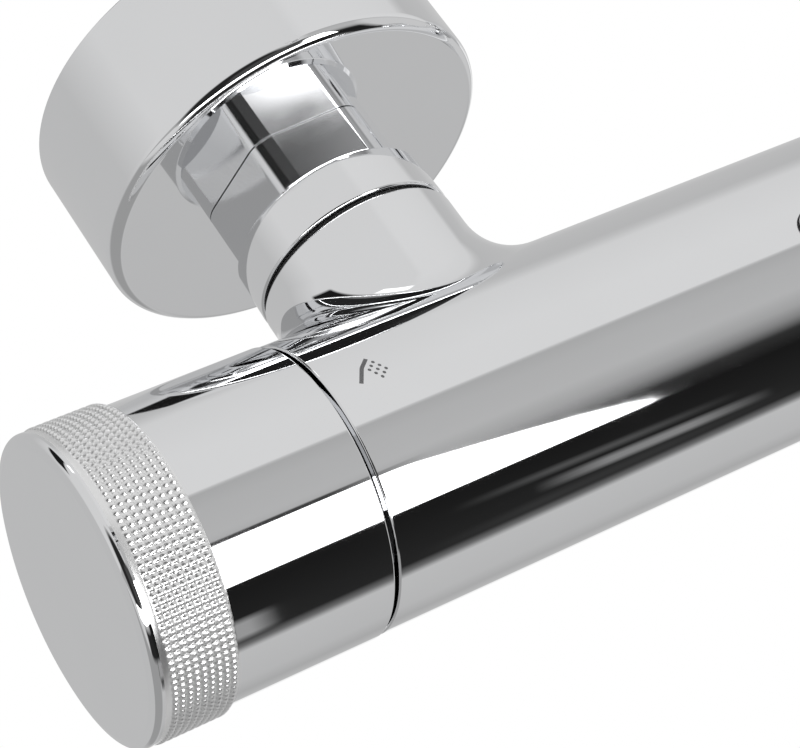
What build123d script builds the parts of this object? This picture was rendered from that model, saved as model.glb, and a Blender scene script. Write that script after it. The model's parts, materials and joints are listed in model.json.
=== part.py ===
from build123d import *
import os
from math import atan2, cos, degrees, pi, sin

os.makedirs("parts", exist_ok=True)

# Rainfall shower column: a thermostatic bar mixer held on two wall inlets, with a riser pipe, an
# overhead arm with a rain head, and a sliding hand shower.
#
# Frame: the origin is mid-way between the two wall inlets, on the finished wall. +X points right for
# a person facing the wall, +Y points into the wall, +Z points up.  All sizes are in millimetres.

# ---------------------------------------------------------------- driving dimensions
INLET_PITCH = 150.0          # standard distance between hot and cold wall inlets
BAR_TO_WALL = 76.5           # bar axis to the finished wall
BAR_R = 22.5                 # chrome bar body
SEAM = 103.5                 # centre of column to the gap between body and handle
SEAM_GAP = 0.8
G_HALF_R = 10.48             # male G1/2 thread, major radius
G_THREE_QUARTER_R = 13.2     # male G3/4 thread, major radius
THREAD_PLAY = 0.05           # radial play between mating threads and slip fits
RUNNING_PLAY = 0.05          # radial clearance of a turning or sliding shaft
SPLIT = 0.3                  # gap between faces of different moving bodies

NECK_R = 17.0
NECK_REACH = 33.3            # bar axis to the end of the neck
NECK_FILLET = 9.0
WATERWAY_R = 9.0
CARTRIDGE_R = 17.2
CARTRIDGE_START = 62.0       # centre of column to the cartridge's inner end
CARTRIDGE_END = 96.0

NUT_START = 34.2             # bar axis to the union nut's near end
NUT_COLLAR_END = 42.7        # round collar ends, hexagon begins
NUT_END = 52.0
NUT_COLLAR_R = 17.0
NUT_ACROSS_FLATS = 29.0
NUT_CORNER_R = 16.3          # corners of the hexagon are turned down to this radius
NUT_TURN = 6.0               # degrees the tightened hexagon stands from square

ESCUTCHEON_R = 33.4
ESCUTCHEON_DEPTH = 24.4      # wall to the flat front face
ESCUTCHEON_WALL = 1.5
ESCUTCHEON_EDGE = 2.0        # rounding of the front edge

HANDLE_R = 22.7
HANDLE_BORE_R = 19.4
GRIP_START = 129.3           # centre of column to the knurled band
GRIP_END = 140.6
GRIP_R = 23.6
HANDLE_END = 142.3
CAP_R = 23.4
CAP_FLAT_R = 21.6
CAP_RIM_R = 22.95            # a point half-way round the cap's rim
CAP_RIM_X = 141.85
CAP_RIM_START = 141.1
SPIGOT_R = 20.5              # the handle's end that carries the knurled band
SPINDLE_R = 4.0

HOSE_X = 20.0                # the hose outlet stands right of the centre
HOSE_BOSS_R = 13.5
HOSE_BOSS_LOW = -25.0
RISER_BOSS_R = 14.5
RISER_BOSS_HIGH = 26.0

RISER_R = 11.0
RISER_WALL = 1.2
RISER_START = 36.5
RISER_SPLIT = 625.0          # height of the joint between lower and upper riser
RISER_TOP = 905.0
BRACKET_Z = 860.0
SCREW_X = 13.5               # bracket's middle to each wall screw
SCREW_R = 2.1
PLUG_R = 3.9
SWIVEL_Z = 915.0             # height of the face that the overhead arm turns on
SWIVEL_R = 8.0               # spigot that the arm's socket turns round
FITTING_R = 14.0             # top fitting and arm socket

ARM_TOP = 1070.0             # height of the horizontal run
ARM_REACH = 380.0            # riser axis to the rain head's axis
ARM_BEND = 60.0
ARM_DROP_BEND = 42.0
ARM_END_Z = 1000.3
BALL_Z = 984.0               # centre of the ball joint
BALL_R = 9.5
HEAD_R = 125.0

SLIDER_Z = 500.0
SLIDER_R = 18.0
PIVOT_OUT = 30.0             # riser axis to the holder's pivot
HOLDER_OUT = 59.0            # riser axis to the middle of the holder's cup
HANDSET_LEAN = 20.0          # degrees from upright, head leaning away from the wall
HANDSET_HEAD_R = 50.0
HANDSET_HEAD_Z = 200.0       # cup to the middle of the spray head, along the handle

BAR_Y = -BAR_TO_WALL
INLET_X = INLET_PITCH / 2
BODY_END = SEAM - SEAM_GAP / 2
HANDLE_START = SEAM + SEAM_GAP / 2
RISER_BORE_R = RISER_R - RISER_WALL
HEAD_Y = BAR_Y - ARM_REACH

# ---------------------------------------------------------------- places
# In each place a piece is drawn about its own Z axis and then laid along the real axis.
TO_LEFT = Location((0, BAR_Y, 0), (0, -90, 0))      # Z runs from the column's centre to the left
TO_RIGHT = Location((0, BAR_Y, 0), (0, 90, 0))      # Z runs from the column's centre to the right
UPRIGHT = Location((0, BAR_Y, 0))                   # Z runs up the riser
HOSE_PLACE = Location((HOSE_X, BAR_Y, 0))           # Z runs up the hose outlet
FROM_WALL = Location((0, 0, 0), (90, 0, 0))         # Z runs out of the wall into the room
HEAD_PLACE = Location((0, HEAD_Y, BALL_Z))
ON_BASE = (Align.CENTER, Align.CENTER, Align.MIN)
HANDSET_PLACE = Location((0, BAR_Y - HOLDER_OUT, SLIDER_Z), (HANDSET_LEAN, 0, 0))


def inlet_place(side):
    """Z runs from the bar axis towards the wall, on the left (-1) or right (+1) inlet."""
    return Location((side * INLET_X, BAR_Y, 0), (-90, 0, 0))


def rod(radius, low, high):
    """A cylinder about Z between two heights."""
    return Pos(0, 0, low) * Cylinder(radius, high - low, align=ON_BASE)


def ring(outer, inner, low, high):
    """A tube about Z between two heights."""
    return rod(outer, low, high) - rod(inner, low - 1, high + 1)


def lathe(*outline):
    """A turned piece about Z, from its (radius, height) outline."""
    points = [(radius, 0, height) for radius, height in outline]
    return revolve(make_face(Polyline(*points, close=True)), Axis.Z)


def hexagon(across_flats, low, high):
    """A hexagonal prism about Z with a corner on +X."""
    outline = RegularPolygon(across_flats / 2, 6, major_radius=False)
    return Pos(0, 0, low) * extrude(outline, high - low)


def coil_spring(radius, wire_r, low, high, turns):
    """A compression spring about Z, with its wire's ends inside the two heights."""
    rise = high - low - 2.2 * wire_r
    helix = Helix(pitch=rise / turns, height=rise, radius=radius)
    section = Plane(origin=helix @ 0, z_dir=helix % 0) * Circle(wire_r)
    return Pos(0, 0, low + 1.1 * wire_r) * sweep(section, path=helix, is_frenet=True)


def circle_of(count, radius, start=0.0):
    """Evenly spaced points on a circle, as (x, y) pairs."""
    step = 2 * pi / count
    return [(radius * cos(start + i * step), radius * sin(start + i * step)) for i in range(count)]


def nozzle_points(rings, spacing):
    """A centre point and rings of 6, 12, 18 ... points around it."""
    points = [(0.0, 0.0)]
    for k in range(1, rings + 1):
        points += circle_of(6 * k, spacing * k, 0.5 * k)
    return points


def group(solids):
    """Separate solids that share one node."""
    return Compound(children=list(solids))


# ---------------------------------------------------------------- mixer body
def stroke(start, end, width):
    """A straight mark from one point to another."""
    run = Vector(end) - Vector(start)
    middle = (Vector(end) + Vector(start)) / 2
    return Pos(middle.X, middle.Y) * Rot(0, 0, degrees(atan2(run.Y, run.X))) * Rectangle(run.length, width)


def hand_shower_symbol():
    """Flush inlay on top of the body: a bent shower wand and nine drops."""
    turn_back = 9.0                       # degrees from the top of the bar towards the wall
    symbol_x = -INLET_X - 20.4
    depth = 0.15
    wand_width = 0.6
    foot, bend, tip = (-2.95, -1.95), (-1.4, 0.45), (0.1, 1.75)
    first_drop = (0.65, 0.75)
    across, along = (-0.62, -0.53), (0.51, -0.92)
    marks = stroke(foot, bend, wand_width) + stroke(bend, tip, wand_width)
    marks += Pos(*bend) * Circle(wand_width / 2)
    drop = Rot(0, 0, degrees(atan2(along[1], along[0]))) * SlotOverall(0.62, 0.4)
    for row in range(3):
        for column in range(3):
            x = first_drop[0] + row * across[0] + column * along[0]
            y = first_drop[1] + row * across[1] + column * along[1]
            marks += Pos(x, y) * drop
    solid = Pos(0, 0, BAR_R - 2) * extrude(marks, 4)
    skin = Rot(0, 90, 0) * ring(BAR_R, BAR_R - depth, -20, 20)
    return Pos(symbol_x, BAR_Y, 0) * Rot(-turn_back, 0, 0) * (solid & skin)


def mixer_body(symbol):
    """Brass bar with two inlet necks, cartridge bores and the riser and hose bosses."""
    body = TO_LEFT * rod(BAR_R, -BODY_END, BODY_END)
    for side in (-1, 1):
        body += inlet_place(side) * rod(NECK_R, 0, NECK_REACH)
    crotch = [e for e in body.edges() if e.geom_type not in (GeomType.CIRCLE, GeomType.LINE)]
    body = fillet(crotch, NECK_FILLET)
    for side in (-1, 1):
        body += inlet_place(side) * rod(12.0, NECK_REACH - 1, 46.0)
        body += inlet_place(side) * rod(13.0, 43.5, 46.0)
    for place in (TO_LEFT, TO_RIGHT):
        body += place * rod(19.0, BODY_END - 1, BODY_END + 4)
    body += UPRIGHT * rod(RISER_BOSS_R, 18, RISER_BOSS_HIGH)
    body += UPRIGHT * rod(12.0, 20, 35.5)
    body += HOSE_PLACE * rod(HOSE_BOSS_R, HOSE_BOSS_LOW, -18)
    body -= TO_LEFT * rod(WATERWAY_R, -CARTRIDGE_START - 1, CARTRIDGE_START + 1)
    for place in (TO_LEFT, TO_RIGHT):
        body -= place * rod(CARTRIDGE_R + THREAD_PLAY, CARTRIDGE_START, BODY_END + 6)
    for side in (-1, 1):
        body -= inlet_place(side) * rod(WATERWAY_R, 12, 50)
    body -= UPRIGHT * rod(8.0, 0, 40)
    body -= HOSE_PLACE * rod(8.0, -30, 0)
    return body - symbol


def union_nut():
    """Captive nut: a round collar, then a hexagon that ends at the escutcheon."""
    chamfer = 0.6
    collar = lathe(
        (0, NUT_START), (NUT_COLLAR_R - chamfer, NUT_START),
        (NUT_COLLAR_R, NUT_START + chamfer), (NUT_COLLAR_R - 0.4, NUT_COLLAR_END - 0.5),
        (NUT_COLLAR_R - 0.9, NUT_COLLAR_END), (0, NUT_COLLAR_END),
    )
    flats = hexagon(NUT_ACROSS_FLATS, NUT_COLLAR_END - 1, NUT_END)
    flats &= rod(NUT_CORNER_R, NUT_COLLAR_END - 2, NUT_END + 1)
    nut = collar + Rot(0, 0, -NUT_TURN) * flats
    nut -= rod(12.0 + THREAD_PLAY, NUT_START - 1, NUT_END + 1)
    return nut - rod(G_THREE_QUARTER_R + THREAD_PLAY, 43.4, NUT_END + 1)


def wall_union():
    """Coupling screwed into the wall, whose outer thread takes the union nut."""
    stud_end = BAR_TO_WALL + 15
    union = rod(G_THREE_QUARTER_R, 48.2, BAR_TO_WALL - 6)
    union += rod(G_HALF_R, BAR_TO_WALL - 7, stud_end)
    union += hexagon(30.0, BAR_TO_WALL - 10, BAR_TO_WALL - 4)
    return union - rod(7.5, 40, stud_end + 1)


def escutcheon():
    """Cover cup that hides the hole in the wall."""
    front = BAR_TO_WALL - ESCUTCHEON_DEPTH
    outer = rod(ESCUTCHEON_R, front, BAR_TO_WALL)
    outer = fillet(outer.edges().sort_by(Axis.Z)[0], ESCUTCHEON_EDGE)
    outer -= rod(ESCUTCHEON_R - ESCUTCHEON_WALL, front + ESCUTCHEON_WALL, BAR_TO_WALL + 1)
    return outer - rod(G_THREE_QUARTER_R + 0.2, front - 1, front + 5)


def inlet_filter():
    """Rubber washer with a mesh disc between neck and wall union."""
    mesh = rod(7.6, 46.8, 47.4)
    for x, y in nozzle_points(3, 2.0):
        mesh -= Pos(x, y, 0) * rod(0.7, 46, 48)
    return ring(12.4, 7.4, 46.0, 48.2) + mesh


def check_valve():
    """Non-return cartridge pushed into the neck."""
    shell = ring(WATERWAY_R - THREAD_PLAY, 7.2, 26, 44)
    seat = rod(7.4, 40, 41.5) - rod(4.5, 39, 43)
    poppet = lathe((0, 33), (2.0, 33), (2.0, 38), (5.6, 39.9), (0, 39.9))
    guide = rod(7.4, 33, 34.5)
    for x, y in circle_of(4, 4.6):
        guide -= Pos(x, y, 0) * rod(1.9, 32, 36)
    return shell + seat + guide + poppet


def hose_outlet():
    """Nipple for the hand shower's hose, under the body."""
    return lathe(
        (6, -16), (7.95, -16), (7.95, HOSE_BOSS_LOW), (HOSE_BOSS_R, HOSE_BOSS_LOW), (HOSE_BOSS_R, -28),
        (G_HALF_R, -28), (G_HALF_R, -39.5), (G_HALF_R - 0.8, -40.5), (6, -40.5),
    )


# ---------------------------------------------------------------- cartridges and handles
def cartridge(nose_r):
    """Ceramic or wax cartridge, which seals in the body and guides the spindle."""
    piece = lathe((0, CARTRIDGE_START + 0.2), (nose_r, CARTRIDGE_START + 0.2), (nose_r, 74),
                  (CARTRIDGE_R, 74), (CARTRIDGE_R, CARTRIDGE_END), (0, CARTRIDGE_END))
    for x, y in circle_of(3, 9.5):
        piece -= Pos(x, y, 0) * rod(2.4, CARTRIDGE_START - 1, 78)
    return piece - rod(SPINDLE_R + RUNNING_PLAY, 80, CARTRIDGE_END + 1)


def cartridge_nut():
    """Ring nut that holds a cartridge in the body."""
    nut = ring(CARTRIDGE_R, 9.0, CARTRIDGE_END, BODY_END + 3)
    for x, y in circle_of(6, 13.2):
        nut -= Pos(x, y, 0) * rod(1.6, BODY_END - 2, BODY_END + 4)
    return nut


def spindle():
    """Shaft from the cartridge to the handle, with a splined end and a tapped hole."""
    shaft = rod(SPINDLE_R, 80.5, 118)
    spline = rod(SPINDLE_R, 118, 128)
    for x, y in circle_of(12, SPINDLE_R):
        spline -= Pos(x, y, 0) * rod(0.35, 117.5, 129)
    return shaft + spline - rod(1.6, 116, 129)


def handle_sleeve():
    """Turning shell of a handle, with a web that grips the spindle."""
    web_start = 119.0
    web_end = 126.0
    shell = ring(HANDLE_R, HANDLE_BORE_R, HANDLE_START, GRIP_START)
    shell += ring(SPIGOT_R, 17.0, GRIP_START - 1, GRIP_END)
    shell += ring(HANDLE_BORE_R + 1, 17.0, web_start + 1, GRIP_START)
    shell += ring(17.5, SPINDLE_R, web_start, web_end)
    edge = shell.edges().filter_by(GeomType.CIRCLE).filter_by(lambda e: abs(e.radius - HANDLE_R) < 0.01)
    return chamfer(edge.sort_by(Axis.Z)[0], 0.3)


def grip_ring():
    """Band with the diamond knurl, pressed on the handle's end."""
    return ring(GRIP_R, SPIGOT_R, GRIP_START, GRIP_END)


def handle_cap():
    """End disc with a rounded rim."""
    rim = ThreePointArc((CAP_R, 0, CAP_RIM_START), (CAP_RIM_R, 0, CAP_RIM_X), (CAP_FLAT_R, 0, HANDLE_END))
    outline = rim + Polyline((CAP_FLAT_R, 0, HANDLE_END), (0, 0, HANDLE_END), (0, 0, GRIP_END),
                             (CAP_R, 0, GRIP_END), (CAP_R, 0, GRIP_END + 0.5))
    disc = revolve(make_face(outline), Axis.Z)
    return disc + ring(16.95, 15.2, GRIP_END - 5, GRIP_END + 0.5)


def handle_screw():
    """Socket screw that draws the handle on to the spindle."""
    screw = rod(1.55, 117, 128.5) + rod(4.0, 128, 132)
    return screw - Pos(0, 0, 130) * extrude(RegularPolygon(1.5, 6, major_radius=False), 3)


BUTTON_OUT = 112.0           # centre of column to the override button
BUTTON_R = 3.8
BRIDGE_TOP = 16.0            # radius of the bridge's face under the button's spring
BUTTON_FOOT = 17.6


def button_place():
    """Z runs up through the override button, from the axis of the bar."""
    return TO_RIGHT * Location((0, 0, BUTTON_OUT), (0, -90, 0))


def temperature_sleeve():
    """Handle sleeve with a radial hole for the override button and a bridge for its spring."""
    bridge = Pos(1 - BRIDGE_TOP, 0, 112.75) * Box(2.0, 12.0, 10.5)
    bridge += Pos(-17.5, 0, 120.0) * Box(7.0, 12.0, 6.0)
    sleeve = handle_sleeve() + (bridge & rod(HANDLE_BORE_R + 0.5, 95, 130))
    hole = Pos(0, 0, BUTTON_OUT) * Rot(0, -90, 0) * rod(BUTTON_R + RUNNING_PLAY, BUTTON_FOOT, 30)
    return sleeve - hole


def override_button():
    """Push button that lets the temperature pass its stop."""
    flange_top = BUTTON_FOOT + 1.1
    return lathe((0, BUTTON_FOOT), (4.6, BUTTON_FOOT), (4.6, flange_top), (BUTTON_R, flange_top),
                 (BUTTON_R, 23.9), (BUTTON_R - 0.7, 24.6), (0, 24.6))


def override_spring():
    return coil_spring(2.6, 0.25, BRIDGE_TOP, BUTTON_FOOT, 1.5)


# ---------------------------------------------------------------- riser and wall bracket
def riser_nut():
    nut = ring(14.5, 12.0 + THREAD_PLAY, 26, RISER_START + 2)
    nut += ring(14.5, RISER_R + THREAD_PLAY, RISER_START + 2, 46)
    return chamfer(nut.edges().group_by(Axis.Z)[-1], 0.5)


def lower_riser():
    tube = ring(RISER_R, RISER_BORE_R, RISER_START, RISER_SPLIT - 0.5)
    return tube + ring(12.0, RISER_BORE_R, RISER_START, RISER_START + 2)


def riser_coupling():
    """Sleeve over the two riser tubes, with a stop ring between their ends."""
    sleeve = ring(13.0, RISER_R + 0.02, RISER_SPLIT - 25, RISER_SPLIT + 25)
    sleeve = chamfer(sleeve.edges().group_by(Axis.Z)[0] + sleeve.edges().group_by(Axis.Z)[-1], 0.5)
    return sleeve + ring(12.0, RISER_BORE_R, RISER_SPLIT - 0.5, RISER_SPLIT + 0.5)


def bracket_body():
    """Clamp ring round the riser with its arm to the wall plate."""
    clamp = UPRIGHT * Pos(0, 0, BRACKET_Z) * ring(15.0, RISER_R + 0.02, -13, 13)
    arm = Pos(0, 0, BRACKET_Z) * FROM_WALL * rod(8.5, 8, BAR_TO_WALL - 12)
    body = clamp + arm
    body -= UPRIGHT * Pos(0, 0, BRACKET_Z) * rod(RISER_R + 0.02, -14, 14)
    return body


def bracket_plate():
    plate = rod(21.0, 0, 8)
    for side in (-1, 1):
        plate -= Pos(side * SCREW_X, 0, 0) * rod(2.3, -1, 9)
        plate -= Pos(side * SCREW_X, 0, 5) * Cone(2.3, 4.6, 3.1, align=ON_BASE)
    return Pos(0, 0, BRACKET_Z) * FROM_WALL * plate


def bracket_screws():
    screws = []
    for side in (-1, 1):
        shank = rod(SCREW_R, -38, 6) + Pos(0, 0, 5.2) * Cone(SCREW_R, 4.2, 2.6, align=ON_BASE)
        shank -= Pos(0, 0, 7.8) * Box(5.0, 0.8, 2.4)
        shank -= Pos(0, 0, 7.8) * Box(0.8, 5.0, 2.4)
        screws.append(Pos(0, 0, BRACKET_Z) * FROM_WALL * Pos(side * SCREW_X, 0, 0) * shank)
    return group(screws)


def wall_plugs():
    plugs = []
    for side in (-1, 1):
        plug = ring(PLUG_R, SCREW_R + THREAD_PLAY, -36, -0.2)
        plug -= Pos(0, 0, -28) * Box(9.0, 0.9, 18.0)
        plugs.append(Pos(0, 0, BRACKET_Z) * FROM_WALL * Pos(side * SCREW_X, 0, 0) * plug)
    return group(plugs)


def bracket_rosette():
    cup = rod(27.5, 0, 11)
    cup = fillet(cup.edges().group_by(Axis.Z)[-1], 2.0)
    cup -= rod(26.0, -1, 9.5)
    cup -= rod(8.6, 0, 12)
    return Pos(0, 0, BRACKET_Z) * FROM_WALL * cup


def riser_top_fitting():
    """Head fitting of the riser: the spigot that the overhead arm turns on."""
    spigot, groove, tube = SWIVEL_R, SWIVEL_R - 1.4, RISER_R + 0.02
    return lathe(
        (5.5, RISER_TOP), (tube, RISER_TOP), (tube, RISER_TOP - 15), (FITTING_R, RISER_TOP - 15),
        (FITTING_R, SWIVEL_Z), (spigot, SWIVEL_Z), (spigot, SWIVEL_Z + 6), (groove, SWIVEL_Z + 6),
        (groove, SWIVEL_Z + 8.2), (spigot, SWIVEL_Z + 8.2), (spigot, SWIVEL_Z + 13),
        (groove, SWIVEL_Z + 13), (groove, SWIVEL_Z + 15.2), (spigot, SWIVEL_Z + 15.2),
        (spigot, SWIVEL_Z + 20), (5.5, SWIVEL_Z + 20),
    )


def arm_seals():
    """Two O-rings in the grooves of the head fitting."""
    seals = [Pos(0, 0, SWIVEL_Z + z) * Torus(7.28, 0.65) for z in (7.1, 14.1)]
    return group([UPRIGHT * seal for seal in seals])


# ---------------------------------------------------------------- overhead arm and rain head
def arm_socket():
    bore, tube = SWIVEL_R + RUNNING_PLAY, RISER_R + 0.02
    return lathe(
        (bore, SWIVEL_Z + SPLIT), (FITTING_R, SWIVEL_Z + SPLIT), (FITTING_R, SWIVEL_Z + 34),
        (FITTING_R - 0.5, SWIVEL_Z + 34.5), (tube, SWIVEL_Z + 34.5), (tube, SWIVEL_Z + 22.5),
        (bore, SWIVEL_Z + 22.5),
    )


def arm_tube():
    corners = [
        (0, BAR_Y, SWIVEL_Z + 22.5), (0, BAR_Y, ARM_TOP), (0, HEAD_Y, ARM_TOP), (0, HEAD_Y, ARM_END_Z),
    ]
    path = FilletPolyline(*corners, radius=[ARM_BEND, ARM_DROP_BEND])
    section = Plane(origin=corners[0], z_dir=(0, 0, 1)) * (Circle(RISER_R) - Circle(RISER_BORE_R))
    return sweep(section, path=path)


def flow_regulator():
    disc = rod(RISER_BORE_R - THREAD_PLAY, 17.5, 20.5)
    for x, y in circle_of(6, 6.0):
        disc -= Pos(x, y, 0) * rod(1.2, 17, 21)
    return HEAD_PLACE * disc


def ball_stem():
    """Ball with its stem and the cup that screws on the arm's end, drilled for the water."""
    tube = RISER_R + 0.02
    stem = lathe((0, 8), (5.5, 8), (5.5, 13), (12.5, 14.5), (12.5, 28), (tube, 28), (tube, 16.3), (0, 16.3))
    stem += Sphere(BALL_R)
    return HEAD_PLACE * (stem - rod(3.5, -12, 18))


def ball_seat():
    """Plastic ring between ball and ball nut; it tips one way on the ball and the nut tips on it."""
    shell = Sphere(11.5) - Sphere(BALL_R + SPLIT)
    shell -= rod(20, 4.8, 20)
    shell -= rod(20, -20, -6)
    return HEAD_PLACE * shell


def ball_nut():
    nut = rod(16.0, -10.4, 8.0)
    nut = chamfer(nut.edges().group_by(Axis.Z)[-1], 1.0)
    nut -= Sphere(11.5 + SPLIT)
    nut -= rod(11.5 + SPLIT, -12, 0)
    return HEAD_PLACE * nut


def ball_seal():
    return HEAD_PLACE * Pos(0, 0, -9.3) * Torus(6.0, 1.1)


def head_shell():
    """Thin round shell of the rain head with its hub."""
    shell = lathe((4.5, -10.4), (16.0, -10.4), (16.0, -17.0), (30.0, -18.0), (117.0, -21.5), (122.5, -22.8),
                  (124.4, -24.6), (HEAD_R, -27.0), (HEAD_R, -32.0), (122.5, -32.0), (122.5, -27.0),
                  (117.0, -23.9), (30.0, -20.4), (4.5, -20.4))
    return HEAD_PLACE * shell


HEAD_NOZZLES = nozzle_points(7, 16.0)


def head_plate():
    plate = rod(122.3, -32.0, -30.0)
    plate -= Compound(children=[Pos(x, y, 0) * rod(1.7, -33, -29) for x, y in HEAD_NOZZLES])
    return HEAD_PLACE * plate


def nozzle_mat():
    """Silicone mat behind the plate, with a nipple through each hole."""
    mat = rod(119.0, -30.0, -28.6)
    nipple = lathe((0, -29.5), (1.6, -29.5), (1.6, -32.0), (1.1, -33.8), (0, -33.8))
    mat += Compound(children=[Pos(x, y, 0) * nipple for x, y in HEAD_NOZZLES])
    return HEAD_PLACE * mat


# ---------------------------------------------------------------- slider, holder and hand shower
def along_x(solid):
    return Rot(0, 90, 0) * solid


def slider_body():
    """Shell round the riser with a front lug for the holder and a side boss for the button."""
    lug_half = 9.0
    shell = rod(SLIDER_R, -21, 21)
    shell = fillet(shell.edges().filter_by(GeomType.CIRCLE), 1.5)
    shell += Pos(0, -(PIVOT_OUT + 12) / 2, 0) * Box(2 * lug_half, PIVOT_OUT - 12, 20.0)
    shell += Pos(0, -PIVOT_OUT, 0) * along_x(rod(10.0, -lug_half, lug_half))
    shell += along_x(rod(9.0, 12, 24))
    shell -= rod(13.5, -22, 22)
    shell -= along_x(rod(6.0 + RUNNING_PLAY, SLIDER_POCKET, 25))
    shell -= Pos(0, -PIVOT_OUT, 0) * along_x(rod(3.0, -20, 20))
    return UPRIGHT * Pos(0, 0, SLIDER_Z) * shell


def slider_liner():
    return UPRIGHT * Pos(0, 0, SLIDER_Z) * ring(13.5, RISER_R + RUNNING_PLAY, -21, 21)


SLIDER_BUTTON_FOOT = 19.6    # riser axis to the button's inner face
SLIDER_POCKET = 17.0         # riser axis to the bottom of the button's pocket


def slider_button():
    """Push button on the slider's right side, which frees it to slide."""
    button = lathe((0, SLIDER_BUTTON_FOOT), (6.0, SLIDER_BUTTON_FOOT), (6.0, 26.2), (5.2, 27.0), (0, 27.0))
    return UPRIGHT * Pos(0, 0, SLIDER_Z) * along_x(button)


def slider_spring():
    spring = coil_spring(3.7, 0.35, SLIDER_POCKET, SLIDER_BUTTON_FOOT, 2.5)
    return UPRIGHT * Pos(0, 0, SLIDER_Z) * along_x(spring)


def holder_pin():
    return UPRIGHT * Pos(0, -PIVOT_OUT, SLIDER_Z) * along_x(rod(3.0, -12.4, 12.4))


CUP_TOP_R = 12.5
CUP_FOOT_R = 11.2
CUP_HALF = 16.0
CUP_OUTER_R = 15.6


def holder():
    """Slotted cup for the hand shower, on two ears that tilt about the pin."""
    cup_y = -(HOLDER_OUT - PIVOT_OUT)
    lean = Pos(0, cup_y, 0) * Rot(HANDSET_LEAN, 0, 0)
    cup = lean * rod(CUP_OUTER_R, -CUP_HALF, CUP_HALF)
    for side in (-1, 1):
        cup += Pos(side * 10.9, 0, 0) * along_x(rod(8.0, -1.5, 1.5))
        cup += Pos(side * 10.9, cup_y / 2, 0) * Box(3.0, -cup_y, 16.0)
    cone = lathe((0, -CUP_HALF - 1), (CUP_FOOT_R, -CUP_HALF - 1), (CUP_FOOT_R, -CUP_HALF),
                 (CUP_TOP_R, CUP_HALF), (CUP_TOP_R, CUP_HALF + 9), (0, CUP_HALF + 9))
    cup -= lean * cone
    cup -= lean * Pos(0, -12, 0) * Box(17.0, 16.0, 60.0)
    cup -= along_x(rod(3.0 + RUNNING_PLAY, -20, 20))
    return UPRIGHT * Pos(0, -PIVOT_OUT, SLIDER_Z) * cup


HANDLE_FOOT = -34.0


def handset_body():
    """Hollow handle that runs into the round spray head; the head faces local -Y."""
    handle = lathe((0, HANDLE_FOOT), (CUP_FOOT_R - SPLIT, HANDLE_FOOT), (CUP_FOOT_R - SPLIT, -CUP_HALF),
                   (CUP_TOP_R - SPLIT, CUP_HALF), (12.9, 60), (13.3, 110), (12.4, 150),
                   (10.6, 166), (7.0, 178), (0, 182))
    dome = lathe(
        (0, 9.0), (24.0, 8.2), (40.0, 5.2), (48.0, 0.5), (HANDSET_HEAD_R, -4.0), (HANDSET_HEAD_R, -9.0),
        (0, -9.0),
    )
    chamber = lathe(
        (0, 6.5), (24.0, 5.8), (39.0, 3.0), (46.0, -1.5), (47.8, -5.0), (47.8, -10.0), (0, -10.0),
    )
    to_head = Pos(0, 0, HANDSET_HEAD_Z) * Rot(-90, 0, 0)
    body = handle + to_head * dome
    body -= Pos(0, -19.0, HANDSET_HEAD_Z) * Box(110.0, 20.0, 102.0)
    body -= rod(7.0, HANDLE_FOOT - 1, 165)
    body -= to_head * chamber
    body -= Pos(0, 0, 118) * Rot(90, 0, 0) * rod(5.5 + RUNNING_PLAY, 8.5, 20)
    return HANDSET_PLACE * body


HANDSET_NOZZLES = nozzle_points(4, 9.5)


def handset_face():
    plate = rod(47.7, -9.0, -7.0)
    plate -= Compound(children=[Pos(x, y, 0) * rod(1.3, -10, -6) for x, y in HANDSET_NOZZLES])
    return HANDSET_PLACE * Pos(0, 0, HANDSET_HEAD_Z) * Rot(-90, 0, 0) * plate


def handset_nozzles():
    mat = rod(44.5, -7.0, -5.8)
    nipple = lathe((0, -6.5), (1.2, -6.5), (1.2, -9.0), (0.9, -10.2), (0, -10.2))
    mat += Compound(children=[Pos(x, y, 0) * nipple for x, y in HANDSET_NOZZLES])
    return HANDSET_PLACE * Pos(0, 0, HANDSET_HEAD_Z) * Rot(-90, 0, 0) * mat


def handset_inlet():
    """Threaded spigot for the hose at the foot of the handle."""
    return HANDSET_PLACE * lathe((5.0, -30.0), (6.95, -30.0), (6.95, HANDLE_FOOT), (G_HALF_R, HANDLE_FOOT),
                                 (G_HALF_R, -45.2), (G_HALF_R - 0.8, -46.0), (5.0, -46.0))


def spray_button():
    """Push button in the handle that changes the spray."""
    button = lathe((0, 10.0), (5.5, 10.0), (5.5, 14.0), (4.8, 14.7), (0, 14.7))
    return HANDSET_PLACE * Pos(0, 0, 118) * Rot(90, 0, 0) * button


# ---------------------------------------------------------------- assembly
def pair(maker):
    return group([inlet_place(side) * maker() for side in (-1, 1)])


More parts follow.
